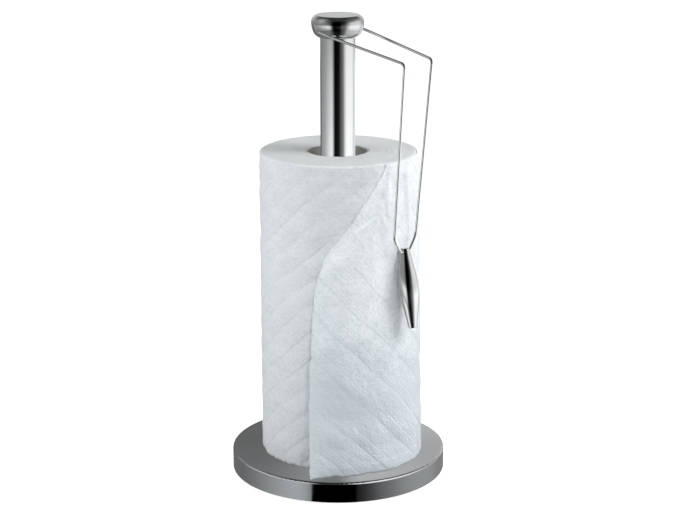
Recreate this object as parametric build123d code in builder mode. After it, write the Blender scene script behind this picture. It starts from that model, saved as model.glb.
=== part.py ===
"""Countertop paper towel holder with a tension arm, and the roll of towels on it.

Millimetres. +Z is up and the origin is the middle of the underside, on the worktop.
The tension arm reaches out along +X, and its pivot runs along Y through the knob.
"""

from build123d import *
from math import cos, radians, sin, tan
import os

os.makedirs("parts", exist_ok=True)

# Driving dimensions ---------------------------------------------------------

# Weighted base: a drawn steel cover over an iron disc, on a soft pad
base_radius = 80.0
base_height = 16.0
base_edge_radius = 1.4
cover_wall = 1.5
cover_lift = 0.8  # the skirt's rim clears the worktop
pad_height = 2.0
pad_radius = 77.0
pad_hole_radius = 14.0

# Post
post_radius = 12.7
post_wall = 1.2
post_top = 330.0
glue_gap = 0.05  # between a plug, stud or core and what holds it

# Base screw, M8 with a low head
screw_radius = 4.0
screw_head_radius = 6.5
screw_head_height = 4.2
screw_socket_width = 5.0  # across the flats
screw_socket_depth = 2.4
screw_top = 30.0
washer_radius = 8.0
washer_height = 1.6
spring_washer_radius = 6.8
spring_washer_height = 1.8
spring_washer_slit = 1.2
counterbore_radius = 8.6
counterbore_top = 10.0
lower_plug_height = 20.0

# Knob and its stud, M6
knob_bottom = 327.0
knob_top = 343.0
knob_radius = 19.1
knob_neck_radius = 13.3
knob_flank_radius = 18.0
knob_face_radius = 15.6
knob_flank_bottom = 332.0
knob_widest = 337.4
stud_radius = 3.0
stud_bottom = 318.0
stud_top = 338.0
upper_plug_bottom = 316.0

# Tension arm: one length of spring wire, bent into a loop
wire_radius = 1.0
pivot_height = 332.5
pivot_play = 0.06
pivot_hole_end = 12.5  # distance of the blind end from the knob's axis
arm_end = 13.5  # where the wire stops inside the hole
arm_half_width = 20.4
shoulder_x = 10.0
shoulder_half_width = 20.4
elbow_x = 76.0
elbow_z = 317.2
elbow_half_width = 14.8
foot_x = 65.2
foot_z = 189.0
foot_half_width = 11.7
eye_x = 65.4
eye_z = 178.8
eye_half_width = 4.2
pivot_bend = 1.8
shoulder_bend = 20.0
elbow_bend = 3.6
foot_bend = 11.0
eye_bend = 3.2

# Weight: a turned spindle that hangs in the loop and leans on the towels
weight_lean = 8.0  # degrees outwards
weight_eye_drop = 3.0  # from the top end to the cross hole
weight_length = 58.6
weight_end_radius = 3.0
weight_apex_radius = 8.3  # where its two cones would meet
weight_apex_share = 0.5
weight_belly_bend = 70.0
weight_edge = 0.4
weight_eye_radius = 1.5

# Roll of towels
roll_lift = 0.3
roll_top = 244.2
roll_radius = 57.5
core_radius = 22.1
core_wall = 0.9
core_sink = 0.7  # the core stops short of the paper's end face

# Loose outer towel: a band that hangs off the roll. Each section's outer face is given as
# (radius, angle in degrees) from its free end round to where it meets the roll. Low down it
# flares, and higher up it stays close enough to the roll to pass behind the weight.
towel_thickness = 0.8
towel_top = 243.6
towel_flare_top = 148.0
towel_foot = ((78.4, -62.4), (71.0, -46.0), (63.6, -28.0), (61.0, 60.0), (58.5, 150.0))
towel_waist = ((60.8, -65.0), (60.8, -47.0), (60.8, -28.0), (59.8, 60.0), (58.5, 150.0))
towel_head = ((60.0, -66.0), (59.9, -47.0), (59.7, -28.0), (59.4, 60.0), (58.5, 150.0))
tear_view_angle = -35.0
tear_corners = ((24.3, 241.5), (-9.7, 194.0), (-24.0, 165.0), (-31.5, 125.0))
tear_left = -70.0
tear_depth = 90.0


def polar(radius, angle):
    """Point at a radius and an angle in degrees, in the plane of the sketch."""
    return (radius * cos(radians(angle)), radius * sin(radians(angle)))


# Base -----------------------------------------------------------------------

cover_underside = base_height - cover_wall
skirt_inner_radius = base_radius - cover_wall
ballast_radius = skirt_inner_radius - 0.5
through_hole_radius = screw_radius + 0.25

with BuildPart() as base_cover:
    with BuildSketch(Plane.XY.offset(cover_lift)):
        Circle(base_radius)
    extrude(amount=base_height - cover_lift)
    fillet(base_cover.edges().group_by(Axis.Z)[-1], radius=base_edge_radius)
    with BuildSketch(Plane.XY.offset(cover_lift)):
        Circle(skirt_inner_radius)
    extrude(amount=cover_underside - cover_lift, mode=Mode.SUBTRACT)
    with BuildSketch(Plane.XY.offset(cover_underside)):
        Circle(through_hole_radius)
    extrude(amount=cover_wall, mode=Mode.SUBTRACT)
base_cover.part.label = "base_cover"
export_step(base_cover.part, "parts/base_cover.step")

with BuildPart() as base_ballast:
    with BuildSketch(Plane.XY.offset(pad_height)):
        Circle(ballast_radius)
        Circle(through_hole_radius, mode=Mode.SUBTRACT)
    extrude(amount=cover_underside - pad_height)
    with BuildSketch(Plane.XY.offset(pad_height)):
        Circle(counterbore_radius)
    extrude(amount=counterbore_top - pad_height, mode=Mode.SUBTRACT)
    chamfer(base_ballast.edges().group_by(Axis.Z)[-1].sort_by(SortBy.RADIUS)[-1], length=1.0)
base_ballast.part.label = "base_ballast"
export_step(base_ballast.part, "parts/base_ballast.step")

with BuildPart() as base_pad:
    with BuildSketch():
        Circle(pad_radius)
        Circle(pad_hole_radius, mode=Mode.SUBTRACT)
    extrude(amount=pad_height)
    chamfer(base_pad.edges().group_by(Axis.Z)[0], length=0.5)
base_pad.part.label = "base_pad"
export_step(base_pad.part, "parts/base_pad.step")

# Base screw and washers -----------------------------------------------------

flat_washer_bottom = counterbore_top - washer_height
spring_washer_bottom = flat_washer_bottom - spring_washer_height
screw_head_bottom = spring_washer_bottom - screw_head_height

with BuildPart() as base_screw:
    with BuildSketch(Plane.XY.offset(screw_head_bottom)):
        Circle(screw_head_radius)
    extrude(amount=screw_head_height)
    fillet(base_screw.edges().group_by(Axis.Z)[0], radius=0.6)
    with BuildSketch(Plane.XY.offset(spring_washer_bottom)):
        Circle(screw_radius)
    extrude(amount=screw_top - spring_washer_bottom)
    chamfer(base_screw.edges().group_by(Axis.Z)[-1], length=0.8)
    with BuildSketch(Plane.XY.offset(screw_head_bottom)):
        RegularPolygon(screw_socket_width / 2, side_count=6, major_radius=False)
    extrude(amount=screw_socket_depth, mode=Mode.SUBTRACT)
base_screw.part.label = "base_screw"
export_step(base_screw.part, "parts/base_screw.step")

with BuildPart() as spring_washer:
    with BuildSketch(Plane.XY.offset(spring_washer_bottom)):
        Circle(spring_washer_radius)
        Circle(screw_radius + 0.15, mode=Mode.SUBTRACT)
    extrude(amount=spring_washer_height)
    with BuildSketch(Plane.XY.offset(spring_washer_bottom)):
        with Locations((spring_washer_radius, 0)):
            Rectangle(spring_washer_radius, spring_washer_slit)
    extrude(amount=spring_washer_height, mode=Mode.SUBTRACT)
spring_washer.part.label = "spring_washer"
export_step(spring_washer.part, "parts/spring_washer.step")

with BuildPart() as flat_washer:
    with BuildSketch(Plane.XY.offset(flat_washer_bottom)):
        Circle(washer_radius)
        Circle(through_hole_radius, mode=Mode.SUBTRACT)
    extrude(amount=washer_height)
flat_washer.part.label = "flat_washer"
export_step(flat_washer.part, "parts/flat_washer.step")

# Post -----------------------------------------------------------------------

bore_radius = post_radius - post_wall
plug_radius = bore_radius - glue_gap

with BuildPart() as post_tube:
    with BuildSketch(Plane.XY.offset(base_height)):
        Circle(post_radius)
        Circle(bore_radius, mode=Mode.SUBTRACT)
    extrude(amount=post_top - base_height)
post_tube.part.label = "post_tube"
export_step(post_tube.part, "parts/post_tube.step")

with BuildPart() as lower_plug:
    with BuildSketch(Plane.XY.offset(base_height)):
        Circle(plug_radius)
        Circle(screw_radius + glue_gap, mode=Mode.SUBTRACT)
    extrude(amount=lower_plug_height)
    chamfer(lower_plug.edges().group_by(Axis.Z)[-1], length=0.5)
lower_plug.part.label = "lower_plug"
export_step(lower_plug.part, "parts/lower_plug.step")

with BuildPart() as upper_plug:
    with BuildSketch(Plane.XY.offset(upper_plug_bottom)):
        Circle(plug_radius)
        Circle(stud_radius + glue_gap, mode=Mode.SUBTRACT)
    extrude(amount=post_top - upper_plug_bottom)
    chamfer(upper_plug.edges().group_by(Axis.Z)[0], length=0.5)
upper_plug.part.label = "upper_plug"
export_step(upper_plug.part, "parts/upper_plug.step")

# Knob -----------------------------------------------------------------------

with BuildPart() as knob_stud:
    with BuildSketch(Plane.XY.offset(stud_bottom)):
        Circle(stud_radius)
    extrude(amount=stud_top - stud_bottom)
    chamfer(knob_stud.edges().group_by(Axis.Z)[0], length=0.5)
    chamfer(knob_stud.edges().group_by(Axis.Z)[-1], length=0.5)
knob_stud.part.label = "knob_stud"
export_step(knob_stud.part, "parts/knob_stud.step")

with BuildPart() as knob:
    with BuildSketch(Plane.XZ):
        with BuildLine():
            Line((0, knob_bottom), (knob_neck_radius, knob_bottom))
            ThreePointArc(
                (knob_neck_radius, knob_bottom),
                (16.5, 329.1),
                (knob_flank_radius, knob_flank_bottom),
            )
            ThreePointArc(
                (knob_flank_radius, knob_flank_bottom),
                (18.8, 334.7),
                (knob_radius, knob_widest),
            )
            ThreePointArc(
                (knob_radius, knob_widest),
                (18.2, 340.8),
                (knob_face_radius, knob_top),
            )
            Line((knob_face_radius, knob_top), (0, knob_top))
            Line((0, knob_top), (0, knob_bottom))
        make_face()
    revolve(axis=Axis.Z)
    with BuildSketch(Plane.XY.offset(knob_bottom)):
        Circle(post_radius + glue_gap)
    extrude(amount=post_top - knob_bottom, mode=Mode.SUBTRACT)
    with BuildSketch(Plane.XY.offset(post_top)):
        Circle(stud_radius + glue_gap)
    extrude(amount=stud_top + 1 - post_top, mode=Mode.SUBTRACT)
    for side in (-1, 1):
        with BuildSketch(Plane((0, side * pivot_hole_end, pivot_height), z_dir=(0, side, 0))):
            Circle(wire_radius + pivot_play)
        extrude(amount=knob_radius - pivot_hole_end, mode=Mode.SUBTRACT)
knob.part.label = "knob"
export_step(knob.part, "parts/knob.step")

# Tension arm ----------------------------------------------------------------

arm_slope = (pivot_height - elbow_z) / elbow_x
near_side = [
    (0, arm_end, pivot_height),
    (0, arm_half_width, pivot_height),
    (shoulder_x, shoulder_half_width, pivot_height - arm_slope * shoulder_x),
    (elbow_x, elbow_half_width, elbow_z),
    (foot_x, foot_half_width, foot_z),
    (eye_x, eye_half_width, eye_z),
]
far_side = [(x, -y, z) for x, y, z in reversed(near_side)]
side_bends = [pivot_bend, shoulder_bend, elbow_bend, foot_bend, eye_bend]

with BuildPart() as tension_wire:
    with BuildLine():
        FilletPolyline(near_side + far_side, radius=side_bends + side_bends[::-1])
    with BuildSketch(Plane((0, arm_end, pivot_height), z_dir=(0, 1, 0))):
        Circle(wire_radius)
    sweep()
tension_wire.part.label = "tension_wire"
export_step(tension_wire.part, "parts/tension_wire.step")

# Weight ---------------------------------------------------------------------

lean = radians(weight_lean)
weight_plane = Plane(
    origin=(eye_x, 0, eye_z),
    x_dir=(cos(lean), 0, sin(lean)),
    z_dir=(0, -1, 0),
)
weight_tip = weight_eye_drop - weight_length
weight_apex = weight_eye_drop - weight_apex_share * weight_length

with BuildPart() as tension_weight:
    with BuildSketch(weight_plane):
        with BuildLine():
            FilletPolyline(
                (0, weight_eye_drop),
                (weight_end_radius, weight_eye_drop),
                (weight_apex_radius, weight_apex),
                (weight_end_radius, weight_tip),
                (0, weight_tip),
                radius=[weight_edge, weight_belly_bend, weight_edge],
            )
            Line((0, weight_tip), (0, weight_eye_drop))
        make_face()
    revolve(axis=Axis(weight_plane.origin, weight_plane.y_dir))
    with BuildSketch(Plane.XZ.offset(-2 * weight_end_radius)):
        with Locations((eye_x, eye_z)):
            Circle(weight_eye_radius)
    extrude(amount=4 * weight_end_radius, mode=Mode.SUBTRACT)
tension_weight.part.label = "tension_weight"
export_step(tension_weight.part, "parts/tension_weight.step")

# Roll of towels -------------------------------------------------------------

roll_bottom = base_height + roll_lift

with BuildPart() as roll_core:
    with BuildSketch(Plane.XY.offset(roll_bottom)):
        Circle(core_radius)
        Circle(core_radius - core_wall, mode=Mode.SUBTRACT)
    extrude(amount=roll_top - core_sink - roll_bottom)
roll_core.part.label = "roll_core"
export_step(roll_core.part, "parts/roll_core.step")

with BuildPart() as paper_roll:
    with BuildSketch(Plane.XY.offset(roll_bottom)):
        Circle(roll_radius)
        Circle(core_radius + glue_gap, mode=Mode.SUBTRACT)
    extrude(amount=roll_top - roll_bottom)
paper_roll.part.label = "paper_roll"
export_step(paper_roll.part, "parts/paper_roll.step")


def towel_outline(section):
    """Closed outline of the band: an arc from its free end, then one that eases onto the roll."""
    outside = [polar(radius, angle) for radius, angle in section]
    inside = [polar(radius - towel_thickness, angle) for radius, angle in section]
    ThreePointArc(*outside[:3])
    ThreePointArc(*outside[2:])
    Line(outside[-1], inside[-1])
    ThreePointArc(*inside[:1:-1])
    ThreePointArc(*inside[2::-1])
    Line(inside[0], outside[0])


tear_direction = (cos(radians(tear_view_angle)), sin(radians(tear_view_angle)), 0)
tear_sideways = (-sin(radians(tear_view_angle)), cos(radians(tear_view_angle)), 0)

with BuildPart() as loose_towel:
    with BuildSketch(Plane.XY.offset(roll_bottom)):
        with BuildLine():
            towel_outline(towel_foot)
        make_face()
    with BuildSketch(Plane.XY.offset(towel_flare_top)):
        with BuildLine():
            towel_outline(towel_waist)
        make_face()
    with BuildSketch(Plane.XY.offset(towel_top)):
        with BuildLine():
            towel_outline(towel_head)
        make_face()
    loft(ruled=True)
    with BuildSketch(Plane((0, 0, 0), x_dir=tear_sideways, z_dir=tear_direction)):
        with BuildLine():
            Polyline(
                *tear_corners,
                (tear_left, tear_corners[-1][1]),
                (tear_left, roll_top + 10),
                (tear_corners[0][0], roll_top + 10),
                close=True,
            )
        make_face()
    extrude(amount=tear_depth, mode=Mode.SUBTRACT)
loose_towel.part.label = "loose_towel"
export_step(loose_towel.part, "parts/loose_towel.step")
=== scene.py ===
"""Countertop paper towel holder with a roll on it: its looks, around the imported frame.

Metres. The arm reaches out along +X, +Z is up, and angles are degrees about the post from +X.
"""

import math

import bpy
import numpy as np
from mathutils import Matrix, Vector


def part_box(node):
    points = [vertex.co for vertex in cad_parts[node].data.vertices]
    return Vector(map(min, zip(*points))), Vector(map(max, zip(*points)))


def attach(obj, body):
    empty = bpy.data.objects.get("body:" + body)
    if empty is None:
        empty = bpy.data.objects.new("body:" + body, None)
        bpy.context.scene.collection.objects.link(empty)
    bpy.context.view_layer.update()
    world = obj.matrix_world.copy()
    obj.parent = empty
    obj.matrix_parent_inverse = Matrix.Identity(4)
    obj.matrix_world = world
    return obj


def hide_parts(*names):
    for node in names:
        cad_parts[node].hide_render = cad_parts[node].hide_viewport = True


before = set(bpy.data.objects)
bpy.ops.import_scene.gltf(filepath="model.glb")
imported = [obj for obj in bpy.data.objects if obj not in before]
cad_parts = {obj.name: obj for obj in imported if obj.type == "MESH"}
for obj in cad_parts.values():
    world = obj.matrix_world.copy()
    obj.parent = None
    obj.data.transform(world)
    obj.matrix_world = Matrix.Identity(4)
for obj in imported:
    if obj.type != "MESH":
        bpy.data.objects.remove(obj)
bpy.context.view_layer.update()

mm = 0.001

base_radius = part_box("base_cover")[1].x
roll_low, roll_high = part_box("paper_roll")
roll_radius = roll_high.x
roll_bottom = roll_low.z
roll_top = roll_high.z
roll_girth = 2 * math.pi * roll_radius
roll_rim = 1.7 * mm  # rounding of its upper rim
core_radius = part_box("roll_core")[1].x
towel_radius = roll_radius + 2 * mm  # where lengths round the loose towel are measured

flat_unit = 0.4  # metres of paper for one unit of its UV map
flat_turn = roll_girth / flat_unit

# Paper tones, shaded and lit, and how much painted shade greys each towel towards its foot
WOUND_DARK = (0.69, 0.705, 0.715, 1)
WOUND_LIGHT = (0.84, 0.86, 0.875, 1)
WOUND_FOOT_SHADE = 0.16
# The loose towel is the same paper as the wound towels; its paler tones are painted light on the
# lit hanging towel
SHEET_DARK_PAINTED_LIT = (0.72, 0.77, 0.81, 1)
SHEET_LIGHT_PAINTED_LIT = (0.97, 0.99, 1.0, 1)
SHEET_FOOT_SHADE = 0.46
# The loose towel's paler tones, a painted light, give way to the wound tones between these angles
MERGE_ANGLES = (45, 140)


# Numpy helpers --------------------------------------------------------------


def smooth(low, high, value):
    """Smoothstep: 0 up to low, 1 from high on, and 3t^2 - 2t^3 between."""
    t = np.clip((value - low) / (high - low), 0.0, 1.0)
    return t * t * (3 - 2 * t)


def ripple(angle, height, seed, length, count):
    """Sum of cosines over a cylinder, about 1 high, with wavelengths near the given length and
    random slants and phases. Each goes a whole number of times round; about half lie level, at
    none."""
    draw = np.random.default_rng(seed)
    total = np.zeros(np.broadcast(angle, height).shape)
    for _ in range(count):
        rate = draw.uniform(0.6, 1.5) / length
        slant = draw.uniform(0, math.pi)
        turns = max(0, round(rate * math.cos(slant) * roll_radius * 2 * math.pi))
        climb = 2 * math.pi * rate * math.sin(slant)
        phase = draw.uniform(0, 2 * math.pi)
        total += np.cos(turns * np.radians(angle) + climb * height + phase)
    return total / math.sqrt(count / 2)


def line_distance(u, v, start, end):
    """Distance of points (u, v) from a segment, signed: positive on the left of its direction."""
    along = np.subtract(end, start)
    length = np.hypot(*along)
    along = along / length
    du, dv = u - start[0], v - start[1]
    reach = np.clip(du * along[0] + dv * along[1], 0.0, length)
    side = np.sign(along[0] * dv - along[1] * du)
    return side * np.hypot(du - reach * along[0], dv - reach * along[1])


def grid_object(name, points, flat, around=False, closed=False):
    """Object of one grid of points (rows, columns, 3), quads between neighbours. around joins the
    last column to the first, closed the last row to the first. flat is (rows, columns, 2), its UV
    map."""
    rows, columns = points.shape[:2]
    index = np.arange(rows * columns).reshape(rows, columns)
    index = np.concatenate([index, index[:, :1]], 1) if around else index
    index = np.concatenate([index, index[:1]], 0) if closed else index
    quads = np.stack([index[:-1, :-1], index[:-1, 1:], index[1:, 1:], index[1:, :-1]], -1)
    mesh = bpy.data.meshes.new(name)
    mesh.from_pydata(points.reshape(-1, 3).tolist(), [], quads.reshape(-1, 4).tolist())
    wide = np.concatenate([flat, flat[:, :1] + [flat_turn, 0]], 1) if around else flat
    wide = np.concatenate([wide, wide[-1:]], 0) if closed else wide
    corner = np.stack([wide[:-1, :-1], wide[:-1, 1:], wide[1:, 1:], wide[1:, :-1]], -2)
    mesh.uv_layers.new(name="paper").data.foreach_set("uv", corner.astype(np.float32).ravel())
    mesh.polygons.foreach_set("use_smooth", np.ones(len(mesh.polygons), bool))
    mesh.update()
    made = bpy.data.objects.new(name, mesh)
    bpy.context.scene.collection.objects.link(made)
    return made


# Shader helpers -------------------------------------------------------------


class Value:
    """A number that varies over a surface: a socket of a material's tree, with maths on it."""

    def __init__(self, finish, socket):
        self.finish = finish
        self.socket = socket

    def math(self, operation, *others):
        sockets = dict(enumerate([self, *others]))
        return self.finish.node("ShaderNodeMath", {"operation": operation}, sockets)

    def __add__(self, other):
        return self.math("ADD", other)

    def __sub__(self, other):
        return self.math("SUBTRACT", other)

    def __mul__(self, other):
        return self.math("MULTIPLY", other)

    def __truediv__(self, other):
        return self.math("DIVIDE", other)

    def __pow__(self, other):
        return self.math("POWER", other)

    def __rsub__(self, other):
        return self.finish.node("ShaderNodeMath", {"operation": "SUBTRACT"}, {0: other, 1: self})


class Finish:
    """A material on one Principled shader, and the one method that adds every other node."""

    def __init__(self, name, **uniform):
        self.material = bpy.data.materials.new(name)
        self.material.use_nodes = True
        self.tree = self.material.node_tree
        self.shader = self.tree.nodes["Principled BSDF"]
        for socket, value in uniform.items():
            self.shader.inputs[socket.replace("_", " ")].default_value = value

    def node(self, kind, settings=None, sockets=None, out=0):
        """Adds a node: its settings first, then its sockets' values or links. Returns one
        output."""
        made = self.tree.nodes.new(kind)
        for key, value in (settings or {}).items():
            setattr(made, key, value)
        for key, value in (sockets or {}).items():
            self.feed(made.inputs[key], value)
        return Value(self, made.outputs[out])

    def feed(self, socket, value):
        if isinstance(value, Value):
            self.tree.links.new(value.socket, socket)
        else:
            socket.default_value = value

    def drive(self, **sockets):
        """Links varying values to the shader's own sockets."""
        for socket, value in sockets.items():
            self.feed(self.shader.inputs[socket.replace("_", " ")], value)

    def place(self):
        """Object coordinates."""
        return self.node("ShaderNodeTexCoord", out="Object")

    def paper_map(self):
        """The piece's own UV map: metres along and up the paper, over flat_unit."""
        return self.node("ShaderNodeUVMap", {"uv_map": "paper"})

    def parts(self, vector):
        """The three numbers of a vector."""
        split = self.node("ShaderNodeSeparateXYZ", None, {0: vector})
        return [Value(self, split.socket.node.outputs[i]) for i in range(3)]

    def vector(self, x, y, z):
        return self.node("ShaderNodeCombineXYZ", None, {0: x, 1: y, 2: z})

    def noise(self, vector, scale, detail=3.0, roughness=0.5, distortion=0.0):
        sockets = {
            "Vector": vector,
            "Scale": scale,
            "Detail": detail,
            "Roughness": roughness,
            "Distortion": distortion,
        }
        return self.node("ShaderNodeTexNoise", {"noise_dimensions": "3D"}, sockets)

    def span(self, value, low, high, start, end):
        """The value taken from low..high to start..end, and held at the ends."""
        sockets = {0: value, 1: low, 2: high, 3: start, 4: end}
        return self.node("ShaderNodeMapRange", {"clamp": True}, sockets)

    def blend(self, share, first, second):
        """Colour between two colours."""
        settings = {"data_type": "RGBA", "blend_type": "MIX"}
        return self.node("ShaderNodeMix", settings, {0: share, 6: first, 7: second}, out=2)

    def bump(self, height, depth, strength=1.0):
        """Normal of a surface raised by depth metres where height is 1."""
        sockets = {"Height": height, "Distance": depth, "Strength": strength}
        return self.node("ShaderNodeBump", None, sockets)


# Metal finishes -------------------------------------------------------------


def turned_lines(finish, lines_per_metre):
    """Noise drawn out round the Z axis: fine lines that follow a turned or spun surface."""
    changes_round = 2.5
    x, y, z = finish.parts(finish.place())
    radius = (x * x + y * y) ** 0.5
    across = radius + z
    off_axis = radius + 0.1 * mm  # keeps the middle from a division by zero
    round_x = x / off_axis * changes_round
    round_y = y / off_axis * changes_round
    return finish.noise(finish.vector(round_x, round_y, across * lines_per_metre), 1.0, 4.0, 0.6)


def satin_steel():
    """Spun stainless: a satin top with fine lines round the disc, and a polished side."""
    finish = Finish("satin_steel", Metallic=1.0, Anisotropic=0.6)
    fine = turned_lines(finish, 5200)
    broad = turned_lines(finish, 900)
    cloud = finish.noise(finish.place(), 28.0, 3.0)
    grain = fine * 0.65 + broad * 0.35
    shade = finish.span(grain + cloud * 0.25, 0.45, 0.85, 0.0, 1.0)
    x, y, _ = finish.parts(finish.place())
    polish_start = base_radius - 1.3 * mm
    polish_full = base_radius - 0.7 * mm
    side = finish.span((x * x + y * y) ** 0.5, polish_start, polish_full, 0.0, 1.0)
    top_tone = finish.blend(shade, (0.545, 0.57, 0.58, 1), (0.685, 0.71, 0.722, 1))
    side_tone = finish.blend(shade, (0.50, 0.525, 0.54, 1), (0.58, 0.605, 0.62, 1))
    top_rough = finish.span(grain, 0.3, 0.7, 0.26, 0.38)
    side_rough = finish.span(grain, 0.3, 0.7, 0.07, 0.13)
    finish.drive(
        Base_Color=finish.blend(side, top_tone, side_tone),
        Roughness=top_rough - side * (top_rough - side_rough),
        Normal=finish.bump(grain, 0.02 * mm, 0.35),
    )
    return finish.material


def polished_steel(name, tone, roughness, lines):
    """Polished stainless: faint lathe lines, soft smudges and a few dull spots. Its roughness
    runs between two values."""
    finish = Finish(name, Metallic=1.0)
    grain = turned_lines(finish, lines)
    smudge = finish.noise(finish.place(), 45.0, 4.0, 0.6, 0.4)
    wear = finish.span(smudge, 0.45, 0.75, 0.0, 1.0)
    bright = (tone * 0.975, tone, tone * 1.01, 1)
    dull = (tone * 0.92, tone * 0.94, tone * 0.955, 1)
    finish.drive(
        Base_Color=finish.blend(wear, bright, dull),
        Roughness=finish.span(grain * 0.5 + wear * 0.5, 0.1, 0.9, *roughness),
        Normal=finish.bump(grain, 0.012 * mm, 0.35),
    )
    return finish.material


def plain_steel(name, tone):
    """Turned or plated steel on the hidden pieces: lathe lines and mottled plating."""
    finish = Finish(name, Metallic=1.0)
    grain = turned_lines(finish, 3000)
    mottle = finish.noise(finish.place(), 300.0, 4.0)
    dark = (tone * 0.8, tone * 0.8, tone * 0.82, 1)
    finish.drive(
        Base_Color=finish.blend(mottle, dark, (tone, tone, tone * 1.03, 1)),
        Roughness=finish.span(grain, 0.3, 0.7, 0.3, 0.5),
        Normal=finish.bump(grain, 0.02 * mm, 0.5),
    )
    return finish.material


def cast_iron():
    """Sand-cast iron: coarse grain and dark skin."""
    finish = Finish("cast_iron", Metallic=0.6)
    sand = finish.noise(finish.place(), 900.0, 5.0, 0.65)
    patch = finish.noise(finish.place(), 60.0, 3.0)
    finish.drive(
        Base_Color=finish.blend(patch, (0.06, 0.06, 0.062, 1), (0.14, 0.135, 0.13, 1)),
        Roughness=finish.span(sand, 0.3, 0.7, 0.55, 0.8),
        Normal=finish.bump(sand, 0.25 * mm, 0.8),
    )
    return finish.material


def pad_rubber():
    """Foamed rubber: fine closed cells, with dust worn into them."""
    finish = Finish("pad_rubber", Specular_IOR_Level=0.35)
    cells = finish.node("ShaderNodeTexVoronoi", None, {"Vector": finish.place(), "Scale": 1400.0})
    dust = finish.noise(finish.place(), 90.0, 4.0)
    finish.drive(
        Base_Color=finish.blend(dust, (0.016, 0.016, 0.017, 1), (0.05, 0.05, 0.05, 1)),
        Roughness=finish.span(dust, 0.3, 0.7, 0.7, 0.92),
        Normal=finish.bump(cells, 0.12 * mm, 0.6),
    )
    return finish.material


# Paper finishes -------------------------------------------------------------


def towel_paper(name, shadow, light, quilt, painted_foot_shade, merges=False):
    """Two-ply towel: small embossed dimples, the quilt's narrow grooves, a fainter groove between
    them, fine ribs along them, loose fibres, and cloudy thickness. The pressing and the ribs are
    strong in some patches and faint in others. The dimples, ribs and grooves also lighten and
    darken its colour: painted shade of its relief. The foot shade argument is how much painted
    shade greys it towards its foot. A towel that merges gives up its own paler tones, a painted
    light, for the wound towels' tones where it runs back onto them."""
    dimple_size, fibre_size, cloud_size, patch_size = 2.3 * mm, 2.2 * mm, 14 * mm, 42 * mm
    finish = Finish(name, Specular_IOR_Level=0.25, Sheen_Weight=0.2, Sheen_Roughness=0.6)
    paper = finish.paper_map()
    u, v, _ = finish.parts(paper)
    dimples = finish.node("ShaderNodeTexVoronoi", {"feature": "SMOOTH_F1"}, {
        "Vector": paper,
        "Scale": flat_unit / dimple_size,
        "Smoothness": 0.6,
        "Randomness": 0.75,
    })
    dots = finish.span(dimples, 0.1, 0.6, 0.0, 1.0)
    strokes = finish.vector(u * 0.7, v, 0.0)
    fibre = finish.noise(strokes, flat_unit / fibre_size, 5.0, 0.7, 0.8)
    cloud = finish.noise(paper, flat_unit / cloud_size, 3.0)
    patchy = finish.noise(paper, flat_unit / patch_size, 2.0)
    strength = finish.span(patchy, 0.40, 0.62, 0.15, 1.0)
    along, up = u * flat_unit, v * flat_unit
    groove = quilt.grooves(along, up, width=1.0 * mm)
    faint = quilt.grooves(along, up, width=0.8 * mm, shift=0.36)
    ribbed = finish.span(patchy + fibre * 0.5, 0.62, 0.85, 0.15, 1.0)
    ribs = quilt.ribs(along, up, pitch=2.5 * mm) * ribbed
    pressed = (groove + faint * 0.45) * strength
    # Painted shade: the paper greys towards its foot, as deep as the foot shade argument says
    foot = finish.span(up, 20 * mm, 150 * mm, 1.0, 0.0) * painted_foot_shade
    if merges:
        merge_start, merge_end = MERGE_ANGLES
        # Where it runs back onto the roll, the loose towel's painted light fades into the wound
        # tones
        merged = finish.span(along, arc_of(merge_start), arc_of(merge_end), 0.0, 1.0)
        shadow = finish.blend(merged, shadow, WOUND_DARK)
        light = finish.blend(merged, light, WOUND_LIGHT)
        foot = foot * (1 - merged * (1 - WOUND_FOOT_SHADE / painted_foot_shade))
    height = dots * 0.22 + fibre * 0.6 + ribs * 0.035 - pressed * 0.42
    # Cloud and fibre are the paper's own tone; the dots, ribs and grooves add painted shade of
    # the relief, and the foot takes off its painted shade
    shade = cloud * 0.33 + fibre * 0.50 + dots * 0.14 + ribs * 0.015 - pressed * 0.10 - foot
    finish.drive(
        Base_Color=finish.blend(finish.span(shade, 0.28, 0.66, 0.0, 1.0), shadow, light),
        Roughness=finish.span(fibre, 0.3, 0.7, 0.86, 0.98),
        Normal=finish.bump(height, 0.6 * mm, 0.8),
    )
    return finish.material


def roll_end_paper():
    """Cut end of the roll: fine rings of wound layers, close together and a little uneven."""
    finish = Finish("roll_end_paper", Specular_IOR_Level=0.2)
    ring_pitch = 1.1 * mm
    x, y, _ = finish.parts(finish.place())
    radius = (x * x + y * y) ** 0.5
    wobble = finish.noise(finish.place(), 40.0, 2.0)
    rings = (radius * (2 * math.pi / ring_pitch) + wobble * 3.0).math("SINE")
    torn = finish.noise(finish.place(), 800.0, 5.0, 0.65)
    shade = finish.span(rings * 0.12 + torn * 0.7 + wobble * 0.2, 0.2, 0.7, 0.0, 1.0)
    finish.drive(
        Base_Color=finish.blend(shade, (0.665, 0.68, 0.685, 1), (0.845, 0.86, 0.865, 1)),
        Roughness=finish.span(torn, 0.3, 0.7, 0.88, 0.98),
        Normal=finish.bump(rings * 0.35 + torn, 0.3 * mm, 0.9),
    )
    return finish.material


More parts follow.
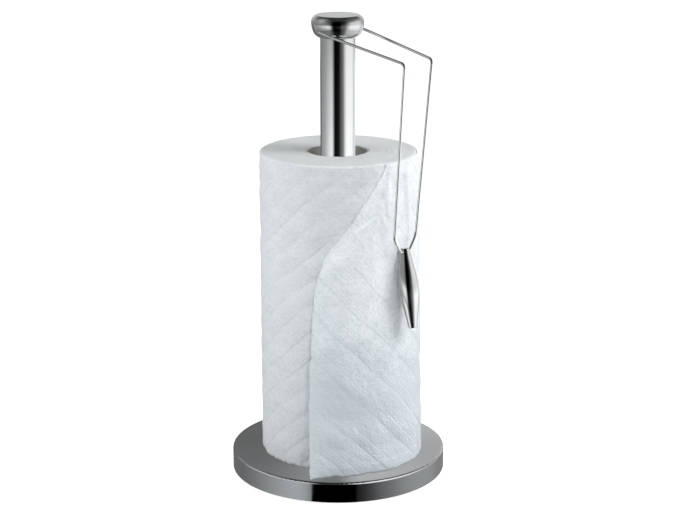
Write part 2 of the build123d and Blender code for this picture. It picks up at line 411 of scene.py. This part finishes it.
def core_board():
    """Grey board wound in a slanting strip: a seam line and speckled pulp."""
    finish = Finish("core_board", Specular_IOR_Level=0.2)
    x, y, z = finish.parts(finish.place())
    turn = y.math("ARCTAN2", x)
    strip_lean = 60.0  # radians for each metre up
    seam = (turn + z * strip_lean).math("SINE")
    edge = finish.span(seam, 0.985, 0.999, 0.0, 1.0)
    pulp = finish.noise(finish.place(), 700.0, 5.0, 0.7)
    tone = finish.blend(pulp, (0.33, 0.325, 0.31, 1), (0.50, 0.495, 0.475, 1))
    finish.drive(
        Base_Color=finish.blend(edge, tone, (0.20, 0.195, 0.18, 1)),
        Roughness=finish.span(pulp, 0.3, 0.7, 0.82, 0.95),
        Normal=finish.bump(pulp - edge, 0.1 * mm, 0.6),
    )
    return finish.material


# Wound towels ---------------------------------------------------------------


class Quilt:
    """Pressed lines of one towel: parallel lines at a lean, a whole number of them round the
    roll, that sway a little. Places are metres along the paper and up it, as arrays or as
    Values."""

    def __init__(self, lean, count):
        self.slope = math.sin(math.radians(lean)), math.cos(math.radians(lean))
        self.pitch = roll_girth * abs(self.slope[0]) / count
        self.round_rate = 2 * math.pi / roll_girth

    def phase(self, u, v, sine):
        """Lines passed on the way to a place: (u sin lean - (v + sway) cos lean) / pitch."""
        sway = sine(u * (3 * self.round_rate) + v * 66.0) * (1.3 * mm)
        sway = sway + sine(u * (5 * self.round_rate) - v * 103.0) * (0.8 * mm)
        return (u * self.slope[0] - (v + sway) * self.slope[1]) * (1 / self.pitch)

    def pillows(self, u, v, width):
        """Height of the paper between lines: -1 on each line, -exp(-(away / width)^2) beside
        it."""
        phase = self.phase(u, v, np.sin)
        away = np.abs(phase - np.round(phase)) * self.pitch
        return -np.exp(-((away / width) ** 2))

    def ribs(self, u, v, pitch):
        """Fine ribs along the lines: the sine of the phase, many turns for each line."""
        turns = 2 * math.pi * round(self.pitch / pitch)
        return (self.phase(u, v, lambda value: value.math("SINE")) * turns).math("SINE")

    def grooves(self, u, v, width, shift=0.0):
        """How deep a place is in the narrow groove of a line, 0 to 1: exp(-(away / width)^2). A
        shift moves the grooves by a share of the pitch."""
        phase = self.phase(u, v, lambda value: value.math("SINE")) + shift
        away = (phase - phase.math("ROUND")).math("ABSOLUTE") * (self.pitch / width)
        return (0 - away * away).math("EXPONENT")


roll_quilt = Quilt(lean=39.0, count=15)
sheet_quilt = Quilt(lean=-47.0, count=12)


def puffed(quilt, u, v, angle, height, seed):
    """Relief of one towel: soft pillows between its lines, strong here and faint there, over a
    gentle unevenness and small crumples."""
    patchy = ripple(angle, height, seed + 1, length=40 * mm, count=20)
    strength = (0.75 + 0.4 * patchy).clip(0.15, 1.5)
    lines = quilt.pillows(u, v, width=3.0 * mm)
    soft = ripple(angle, height, seed + 2, length=24 * mm, count=40)
    crumple = ripple(angle, height, seed + 3, length=7 * mm, count=60)
    return mm * (0.34 * strength * lines + 0.13 * soft + 0.06 * crumple)


def wound_towels():
    """The roll: a closed profile carried round the post: up its wall, over a soft rim, in across
    the top, down the hole and out across the bottom. The wall is quilted and its foot is ragged.
    The top is rings of layers that stand a little high or low."""
    columns, wall_rows, end_rows, hole_rows, rim_rows = 340, 170, 36, 8, 6
    angle = np.linspace(0, 360, columns, endpoint=False)[None, :]
    turn = np.radians(angle)
    hole = core_radius + 0.25 * mm
    bend = np.linspace(0, math.pi / 2, rim_rows + 2)[1:-1][:, None]
    inward = np.linspace(0, 1, end_rows)[:, None]
    wall_z = np.linspace(roll_bottom, roll_top - roll_rim, wall_rows)[:, None]
    end_r = roll_radius - roll_rim + (hole + 0.4 * mm - roll_radius + roll_rim) * inward
    hole_z = np.linspace(roll_top - 0.7 * mm, roll_bottom + 0.5 * mm, hole_rows)[:, None]

    coarse = ripple(angle, 0, seed=11, length=9 * mm, count=30)
    fine = ripple(angle, 0, seed=12, length=3.5 * mm, count=30)
    ragged = mm * (0.9 + 0.7 * coarse + 0.5 * fine).clip(0, 3.0)
    foot = ragged * (1 - smooth(0, 30 * mm, wall_z - roll_bottom))
    wall_r = roll_radius + puffed(roll_quilt, turn * roll_radius, wall_z, angle, wall_z, seed=5)
    wall_r = wall_r - 0.5 * mm * (1 - smooth(0, 2.5 * mm, wall_z - roll_bottom)) ** 2
    rim_r = wall_r[-1:] - roll_rim * (1 - np.cos(bend))
    rim_z = roll_top - roll_rim + roll_rim * np.sin(bend)

    rings = np.random.default_rng(21).normal(0, 0.09 * mm, (end_rows, 1))
    lift = rings * (1 + 0.4 * ripple(angle, end_r, seed=22, length=60 * mm, count=12))
    lift = lift + 0.2 * mm * ripple(angle, end_r, seed=23, length=30 * mm, count=30)
    lift = lift * smooth(0, 0.15, inward) - 0.25 * mm * smooth(0, 0.25, inward)
    worn = 0.2 * mm * ripple(angle, 0, seed=24, length=20 * mm, count=20)

    level = 0 * angle
    radius = np.concatenate([
        wall_r,
        rim_r,
        end_r + level,
        hole + worn + 0 * hole_z,
        end_r[::-1] + level,
    ])
    height = np.concatenate([
        wall_z + foot,
        rim_z + level,
        roll_top + lift,
        hole_z + level,
        roll_bottom + 0 * end_r + level,
    ])
    points = np.stack([radius * np.cos(turn), radius * np.sin(turn), height], -1)
    ends = wall_z[-1] + 0.5 * mm * np.arange(1, len(points) - wall_rows + 1)[:, None]
    run = np.concatenate([wall_z, ends])
    flat = np.stack(np.broadcast_arrays(turn * roll_radius, run), -1) / flat_unit
    towels = grid_object("wound_towels", points, flat, around=True, closed=True)
    paper = towel_paper("wound_paper", WOUND_DARK, WOUND_LIGHT, roll_quilt, WOUND_FOOT_SHADE)
    towels.data.materials.append(paper)
    towels.data.materials.append(roll_end_paper())
    is_end = np.zeros((len(points), columns), np.int32)
    is_end[wall_rows + rim_rows:] = 1
    towels.data.polygons.foreach_set("material_index", is_end.ravel())
    towels.visible_glossy = False
    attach(towels, "roll")
    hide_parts("paper_roll")


# Loose towel ----------------------------------------------------------------

# Free edge of the towel from its foot up to the corner at the roll's rim: (angle, height in mm)
free_edge = [
    (-62.4, 16.4),
    (-66.0, 80.0),
    (-65.6, 125.0),
    (-64.4, 147.0),
    (-62.0, 162.0),
    (-58.0, 175.5),
    (-52.0, 185.5),
    (-44.2, 194.0),
    (-27.8, 217.8),
    (-11.3, 241.6),
]
free_foot = free_edge[0][0]
towel_end_angle = 150.0
towel_top = roll_top - 0.5 * mm
weight_foot = 146 * mm  # the towel may stand out further below this height
weight_room = 3.3 * mm  # between the roll and the weight

# Edge of the folded corner: from the bend in the free edge to the tip, and on up to the rim
fold_bend = (-47.0, 190.0)
fold_tip = (-19.8, 207.0)
fold_rim = (-9.5, 244.0)

# Wrinkles: start, end, (angle, height in mm) each, their height in mm and their width in mm
wrinkles = [
    ((-17.0, 232.0), (-6.0, 186.0), 1.0, 2.6),
    ((-12.0, 226.0), (-11.0, 192.0), 0.8, 2.4),
    ((-9.0, 214.0), (-2.0, 199.0), 0.7, 2.0),
    ((-16.0, 203.0), (-5.0, 183.0), 0.9, 2.4),
    ((5.0, 233.0), (9.0, 200.0), 0.6, 3.0),
    ((-11.0, 186.0), (3.0, 170.0), 0.7, 2.6),
    ((-30.0, 160.0), (-8.0, 128.0), 0.5, 2.4),
    ((-66.0, 118.0), (-46.0, 120.0), 0.45, 1.6),
    ((14.0, 176.0), (26.0, 150.0), 0.5, 3.0),
]


def arc_of(angle):
    """Distance round the towel for an angle in degrees, in metres."""
    return np.radians(angle) * towel_radius


def on_towel(place):
    """Place on the flat towel, in metres, for an angle in degrees and a height in mm."""
    angle, height = place
    return arc_of(angle), height * mm


def stand_off(angle, height):
    """How far the towel hangs clear of the roll: a little at its head, more towards its foot on
    the arm's side, nothing where it runs back onto the roll, and a flare at the free foot. Along
    the upper free edge it lies close to the roll."""
    knots = [-70, -62, -54, -44, -35, -25, -4, 8, 32, 45, 70, 110, towel_end_angle]
    foot = [7.4, 7.4, 7.2, 8.2, 7.4, 7.4, 6.6, 5.6, 3.6, 2.9, 2.2, 1.2, 0.0]
    slack = np.interp(angle, knots, foot)
    fall = ((roll_top - height) / (roll_top - roll_bottom)).clip(0, 1) ** 1.2
    past_edge = angle - free_foot
    flare = 15.5 * np.exp(-np.maximum(past_edge, 0) / 13.0)
    flare = flare - 3.5 * np.exp(-((past_edge / 20.0) ** 2))
    kick = smooth(118 * mm, 8 * mm, height) ** 1.5
    inland = arc_of(angle) - arc_of(edge_angle(height))
    close = smooth(0, 20 * mm, inland)
    close = close + (1 - close) * smooth(165 * mm, 80 * mm, height)
    return mm * (0.25 * close + slack * fall * (0.12 + 0.88 * close) + flare * kick)


def edge_angle(height):
    """Angle of the towel's free edge at a height."""
    angles, heights = np.array(free_edge).T
    return np.interp(height, heights * mm, angles)


def fold_height(angle, height):
    """Step of the folded corner: the outer ply stands over the strip between the free edge and
    the line from the free edge's bend to the fold's tip and on up to the rim. Its lip is
    rounded."""
    u, v = arc_of(angle), height
    bend, tip, rim = on_towel(fold_bend), on_towel(fold_tip), on_towel(fold_rim)
    low = line_distance(u, v, bend, tip)
    high = line_distance(u, v, tip, rim)
    strip = smooth(-0.7 * mm, 0.7 * mm, low) * smooth(-3.5 * mm, 2.5 * mm, high)
    near_tip = smooth(0, 30 * mm, np.hypot(u - bend[0], v - bend[1]))
    lip = np.exp(-(((low + 1.4 * mm) / (1.6 * mm)) ** 2)) * smooth(2 * mm, -4 * mm, high)
    return mm * near_tip * (1.7 * (1 - strip) * smooth(100, 40, angle) + 0.4 * lip)


def creases(angle, height):
    """Height of the wrinkles: each is raised on one side of its line and sunk on the other, and
    fades away from it."""
    total = 0.0
    for start, end, high, wide in wrinkles:
        line = line_distance(arc_of(angle), height, on_towel(start), on_towel(end))
        near = line / (wide * mm)
        total = total + high * mm * near * np.exp(-(near**2)) * 1.6
    return total


def under_weight(radius, height):
    """Holds a radius r softly under the room c that the weight leaves as the roll turns behind
    it: c - s log(1 + exp((c - r) / s))."""
    below = np.maximum(weight_foot - height, 0)
    room = roll_radius + weight_room + 0.3 * below**2 / (below + 40 * mm)
    soft = 0.25 * mm
    return room - soft * np.logaddexp(0, (room - radius) / soft)


def loose_towel():
    """The outermost towel: a cylinder patch whose left edge follows free_edge, hung clear of the
    roll, quilted, creased and folded at its corner, with a ragged foot. Its columns stand closer
    together near the free edge. Its head lies back on the roll and turns in over the roll's
    rim."""
    columns, rows = 270, 160
    across = np.linspace(0, 1, columns)[None, :]
    across = 0.35 * across + 0.65 * across**1.9
    up = np.linspace(0, 1, rows)[:, None]
    climb = roll_bottom + (towel_top - roll_bottom) * up
    waver = ripple(np.zeros(1), climb, seed=32, length=14 * mm, count=24)
    edge = edge_angle(climb) + 0.25 * waver
    angle = edge + (towel_end_angle - edge) * across

    coarse = ripple(angle, 0, seed=33, length=10 * mm, count=30)
    fine = ripple(angle, 0, seed=34, length=4 * mm, count=30)
    ragged = mm * (0.8 + 0.7 * coarse + 0.3 * fine).clip(0, 3.0)
    foot = ragged * smooth(-66, -52, angle) + 0.2 * mm
    height = climb + foot * (1 - smooth(0, 40 * mm, climb - roll_bottom))

    slack = smooth(towel_end_angle, 110, angle)
    inland = smooth(0, 10 * mm, arc_of(angle) - arc_of(edge))
    relief = puffed(sheet_quilt, arc_of(angle), climb, angle, height, seed=41) + 0.5 * mm
    relief = relief + 0.3 * mm * ripple(angle, height, seed=44, length=38 * mm, count=30)
    relief = (relief + creases(angle, height)) * slack * inland
    radius = roll_radius + stand_off(angle, height) + fold_height(angle, height) + relief
    least = roll_radius + (0.62 - 0.1 * (1 - slack)) * mm
    radius = under_weight(np.maximum(radius, least), height)
    head = smooth(roll_top - 9 * mm, roll_top - 2 * mm, height)
    radius = radius + (least - radius) * head * 0.85
    over = ((height - roll_top + roll_rim) / roll_rim).clip(0, 0.95)
    radius = radius - roll_rim * (1 - np.sqrt(1 - over**2))
    turn = np.radians(angle)
    points = np.stack([radius * np.cos(turn), radius * np.sin(turn), height], -1)
    flat = np.stack([arc_of(angle), climb + 0 * angle], -1) / flat_unit
    towel = grid_object("hanging_towel", points, flat)
    # Its paler sheet tones are painted light
    paper = towel_paper(
        "hanging_paper", SHEET_DARK_PAINTED_LIT, SHEET_LIGHT_PAINTED_LIT, sheet_quilt, SHEET_FOOT_SHADE, merges=True
    )
    towel.data.materials.append(paper)
    ply = towel.modifiers.new("ply", "SOLIDIFY")
    ply.thickness = 0.35 * mm
    ply.offset = -1
    towel.visible_glossy = False
    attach(towel, "roll")
    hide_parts("loose_towel")


# Studio ---------------------------------------------------------------------

view_turn = math.radians(42.5)  # the camera's turn about Z
front = view_turn - math.pi / 2  # the side of the object that faces the camera, from +X
camera_lens = 95.3
camera_away = 1.3257
camera_height = 0.52435
camera_dip = 15.318  # degrees down
camera_swing = 0.384  # degrees clockwise, seen from above, off the post
floor_glow = 0.66
sky_glow = 0.46


def from_camera(angle, distance, height):
    """Place at an angle round the object from the camera's side, in degrees, positive to its
    right."""
    turn = front + math.radians(angle)
    return (distance * math.cos(turn), distance * math.sin(turn), height)


def add_camera():
    data = bpy.data.cameras.new("camera")
    data.lens = camera_lens
    data.sensor_width = 36.0
    data.clip_end = 100.0
    camera = bpy.data.objects.new("camera", data)
    camera.location = from_camera(0, camera_away, camera_height)
    turn = view_turn - math.radians(camera_swing)
    camera.rotation_euler = (math.radians(90 - camera_dip), 0, turn)
    bpy.context.scene.collection.objects.link(camera)
    bpy.context.scene.camera = camera


def add_softbox(name, angle, distance, height, size, glow, tint, aim=0.17, spread=180):
    """A soft light that faces the post at the aimed height, as bright as glow times a white wall.
    A grid on it holds its beam to the spread in degrees."""
    data = bpy.data.lights.new(name, "AREA")
    data.shape = "RECTANGLE"
    wide, high = size
    data.size, data.size_y = wide, high
    data.energy = glow * math.pi * wide * high
    data.color = tint
    data.spread = math.radians(spread)
    lamp = bpy.data.objects.new(name, data)
    place = Vector(from_camera(angle, distance, height))
    lamp.location = place
    lamp.rotation_euler = (Vector((0, 0, aim)) - place).to_track_quat("-Z", "Y").to_euler()
    lamp.visible_camera = False
    lamp.visible_glossy = False
    bpy.context.scene.collection.objects.link(lamp)


def glowing_card(name, points, tone, around=True):
    """A card that only reflections see, as bright at each of its points as its tone says."""
    rows, columns = tone.shape
    card = grid_object(name, points, np.zeros((rows, columns, 2)), around)
    colour = np.repeat(tone.reshape(-1, 1), 4, 1).astype(np.float32)
    card.data.attributes.new("tone", "FLOAT_COLOR", "POINT").data.foreach_set(
        "color", colour.ravel()
    )
    finish = Finish(name, Base_Color=(0, 0, 0, 1), Specular_IOR_Level=0.0, Emission_Strength=1.0)
    finish.drive(
        Emission_Color=finish.node("ShaderNodeAttribute", {"attribute_name": "tone"}, out="Color")
    )
    card.data.materials.append(finish.material)
    card.visible_camera = False
    card.visible_diffuse = False
    card.visible_shadow = False
    card.visible_transmission = False


# Brightness of the studio round the object, by angle from the camera's side and by height angle:
# white panels low on both sides, a dark gap at the front, and dim walls above
panel_angles = [-180, -150, -130, -105, -85, -68, -45, -36, -30, -24, -17,
                10, 17, 31, 38, 45, 52, 62, 105, 118, 131, 152, 180]
panel_tones = {
    -90: [0.2] * 10 + [0.05] * 3 + [0.2] * 10,
    -32: [0.3, 0.25, 0.2, 0.18, 0.2, 0.22, 0.25, 0.2, 0.1, 0.02, 0,
          0, 0.04, 0.12, 0.25, 0.5, 0.6, 0.7, 0.7, 0.5, 0.3, 0.2, 0.3],
    -20: [0.4, 0.3, 0.32, 0.34, 0.45, 0.65, 0.9, 0.85, 0.55, 0.1, 0,
          0.02, 0.1, 0.18, 0.28, 0.6, 0.9, 1.15, 1.15, 1.0, 0.6, 0.5, 0.4],
    -12: [0.5, 0.33, 0.38, 0.42, 0.57, 0.8, 1.1, 1.0, 0.6, 0.1, 0,
          0.02, 0.12, 0.2, 0.3, 0.65, 0.95, 1.25, 1.25, 1.1, 0.6, 0.5, 0.5],
    -4: [0.4, 0.3, 0.26, 0.24, 0.26, 0.28, 0.3, 0.24, 0.12, 0.02, 0,
         0, 0.03, 0.12, 0.25, 0.5, 0.7, 0.85, 0.9, 0.8, 0.5, 0.4, 0.4],
    18: [0.74, 0.66, 0.4, 0.36, 0.42, 0.34, 0.2, 0.13, 0.05, 0.01, 0,
         0, 0.01, 0.03, 0.08, 0.22, 0.45, 0.8, 0.9, 0.6, 0.5, 0.66, 0.74],
    40: [0.12, 0.12, 0.14, 0.4, 0.6, 0.3, 0.1, 0.06, 0.03, 0.01, 0,
         0, 0.01, 0.02, 0.04, 0.08, 0.12, 0.2, 0.25, 0.2, 0.12, 0.12, 0.12],
    72: [0.04] * 23,
    84: [0.05] * 23,
    90: [0.05] * 23,
}
# The floor close in front of the base, by the angle that the base's side faces
floor_angles = [-86, -64, -55, -48, -42, -36, -31, -26, -21, -17.2, -14.6, -13.9,
                9, 10, 14, 18.6, 23, 28, 33, 39, 44, 51, 59, 68, 86]
floor_tones = [0.16, 0.22, 0.27, 0.33, 0.41, 0.49, 0.56, 0.63, 0.63, 0.54, 0.4, 0,
               0, 0.02, 0.05, 0.11, 0.2, 0.26, 0.35, 0.43, 0.47, 0.49, 0.47, 0.35, 0.24]
# The low ring round the base that its rounded edge reflects, by angle from the camera's side
rim_angles = [-85, -60, -35, -20, -10, 10, 20, 40, 60, 85]
rim_tones = [0.6, 0.8, 1.0, 1.0, 0.05, 0.05, 1.2, 1.5, 1.2, 0.6]

shell_radius = 2.6
shell_middle = 0.2  # its height
fan_reach = 90 * mm
ring_radius = 0.132
ring_heights = (0.008, 0.075)
wall_away = 0.40
wall_high = 0.24
wall_half = 0.45  # half its width
wall_fade = (-0.055, 0.025)  # it runs from dim to bright between these places along it
wall_dim = 0.16
wall_gain = 0.72


def add_reflections():
    """The studio as the metal sees it: a shell of tones all round; a fan on the floor in front of
    the base; a low ring round the base; and a low wall behind, dim on the left and bright on the
    right. With b(n) the direction at an angle n from the front, a point at r b(n) on the base's
    side reflects the floor along r b(n) + d b(2n). The fan is made of those lines."""
    angle = np.arange(-180, 180, 2.0)[None, :]
    climb = np.linspace(-89.5, 89.5, 90)[:, None]
    table = np.array([np.interp(angle[0], panel_angles, row) for row in panel_tones.values()])
    rows = list(panel_tones)
    tone = np.array([np.interp(climb[:, 0], rows, column) for column in table.T]).T
    turn = front + np.radians(angle)
    tilt = np.radians(climb)
    shell = shell_radius * np.stack([
        np.cos(tilt) * np.cos(turn),
        np.cos(tilt) * np.sin(turn),
        np.sin(tilt) + 0 * turn,
    ], -1) + np.array([0, 0, shell_middle])
    glowing_card("reflection_shell", shell, tone)

    facing = np.radians(np.linspace(-86, 86, 220))[None, :]
    reach = np.linspace(0.5 * mm, fan_reach, 10)[:, None]
    fan = np.stack([
        base_radius * np.cos(front + facing) + reach * np.cos(front + 2 * facing),
        base_radius * np.sin(front + facing) + reach * np.sin(front + 2 * facing),
        0.3 * mm + 0 * facing * reach,
    ], -1)
    fan_tone = np.interp(np.degrees(facing), floor_angles, floor_tones) + 0 * reach
    glowing_card("reflection_fan", fan, fan_tone, around=False)

    turn = np.radians(np.linspace(-85, 85, 60))[None, :]
    rise = np.array(ring_heights)[:, None]
    ring = np.stack([
        ring_radius * np.cos(front + turn) + 0 * rise,
        ring_radius * np.sin(front + turn) + 0 * rise,
        rise + 0 * turn,
    ], -1)
    ring_tone = np.interp(np.degrees(turn), rim_angles, rim_tones) + 0 * rise
    glowing_card("reflection_ring", ring, ring_tone, around=False)

    side = np.linspace(-wall_half, wall_half, 37)[None, :]
    rise = np.array([0.0, wall_high])[:, None]
    back = np.array(from_camera(180, wall_away, 0.0))
    right = np.array(from_camera(90, 1.0, 0.0))
    wall = back + right * side[..., None] + np.array([0, 0, 1]) * rise[..., None]
    wall_tone = wall_dim + smooth(*wall_fade, side) * wall_gain + 0 * rise
    glowing_card("reflection_wall", wall, wall_tone, around=False)


def add_floor():
    """A pale floor, softly mottled, that glows a little like a lit white table."""
    half_width = 40.0
    line = np.array([-half_width, half_width])
    x, y = np.meshgrid(line, line)
    floor = grid_object("floor", np.stack([x, y, 0 * x], -1), np.zeros((2, 2, 2)))
    finish = Finish("pale_floor", Roughness=0.7, Specular_IOR_Level=0.2)
    finish.shader.inputs["Emission Strength"].default_value = floor_glow
    cloud = finish.noise(finish.place(), 3.0, 3.0)
    finish.drive(Base_Color=finish.blend(cloud, (0.88, 0.885, 0.89, 1), (0.91, 0.915, 0.92, 1)))
    finish.shader.inputs["Emission Color"].default_value = (1, 1, 1, 1)
    floor.data.materials.append(finish.material)
    floor.visible_glossy = False
    floor.visible_diffuse = False


def light_studio():
    scene = bpy.context.scene
    scene.view_settings.view_transform = "Standard"
    world = bpy.data.worlds.new("studio")
    world.use_nodes = True
    sky = world.node_tree.nodes["Background"]
    sky.inputs["Color"].default_value = (0.95, 0.98, 1.0, 1)
    sky.inputs["Strength"].default_value = sky_glow
    scene.world = world
    add_softbox("right_softbox", angle=80, distance=0.9, height=0.8, size=(0.6, 0.6), glow=7.2,
                tint=(1.0, 0.995, 0.98))
    add_softbox("left_softbox", angle=-74, distance=0.9, height=0.42, size=(0.6, 0.6), glow=3.6,
                tint=(0.93, 0.97, 1.0))
    add_softbox("front_softbox", angle=16, distance=1.1, height=0.75, size=(0.5, 0.12), glow=0.42,
                tint=(1.0, 1.0, 1.0), aim=0.155, spread=20)


# Assembly -------------------------------------------------------------------


def dress(node, material):
    """Gives a CAD node its finish."""
    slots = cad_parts[node].data.materials
    for i in range(len(slots)):
        slots[i] = material


def dress_holder():
    """Finishes of all the CAD nodes that stay. The wire and the core, like the paper, are left
    out of reflections, so that the post's stripes run down unbroken."""
    for node in ("tension_wire", "roll_core"):
        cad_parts[node].visible_glossy = False
    dress("base_cover", satin_steel())
    dress("base_ballast", cast_iron())
    dress("base_pad", pad_rubber())
    dress("post_tube", polished_steel("polished_post", 0.84, (0.06, 0.11), lines=1800))
    dress("knob", polished_steel("polished_knob", 0.70, (0.04, 0.09), lines=2600))
    dress("tension_weight", polished_steel("polished_weight", 0.80, (0.07, 0.14), lines=2400))
    dress("tension_wire", polished_steel("drawn_wire", 0.94, (0.03, 0.07), lines=4000))
    zinc = plain_steel("zinc_plate", 0.62)
    turned = plain_steel("turned_steel", 0.55)
    for node in ("base_screw", "spring_washer", "flat_washer"):
        dress(node, zinc)
    for node in ("lower_plug", "upper_plug", "knob_stud"):
        dress(node, turned)
    dress("roll_core", core_board())


add_camera()
light_studio()
add_reflections()
add_floor()
dress_holder()
wound_towels()
loose_towel()
